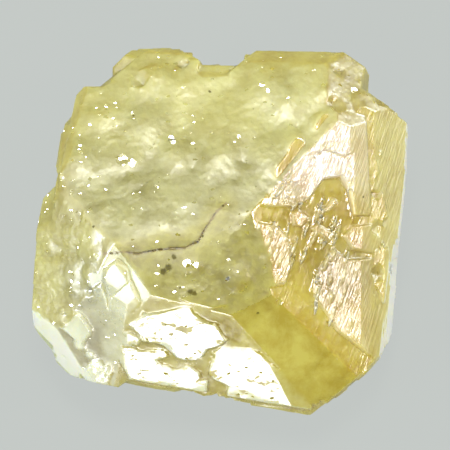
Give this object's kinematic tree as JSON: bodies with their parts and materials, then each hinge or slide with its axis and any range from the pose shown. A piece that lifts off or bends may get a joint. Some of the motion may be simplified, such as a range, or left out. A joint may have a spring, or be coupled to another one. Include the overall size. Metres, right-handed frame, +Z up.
{
  "type": "rough diamond crystal",
  "caption": "Uncut pale yellow diamond: a squarish, flattened octahedron with flaked bright plates, a striated face, a pebbled crown and a flat cleavage base.",
  "frame": {"origin": "middle of the crystal's box seen from above, on the cleavage face that it rests on", "axes": "+Z up from the cleavage face, +Y from the bright flaked face towards the back of the pebbled crown, +X towards the striated face and the sharp ridge beside it"},
  "size_m": [0.0066, 0.0068, 0.0038],
  "materials": {
    "diamond": "see-through pale yellow crystal, polished plates with frosted ground between them"
  },
  "bodies": {
    "root": {"rough_diamond": "diamond"}
  },
  "joints": []
}
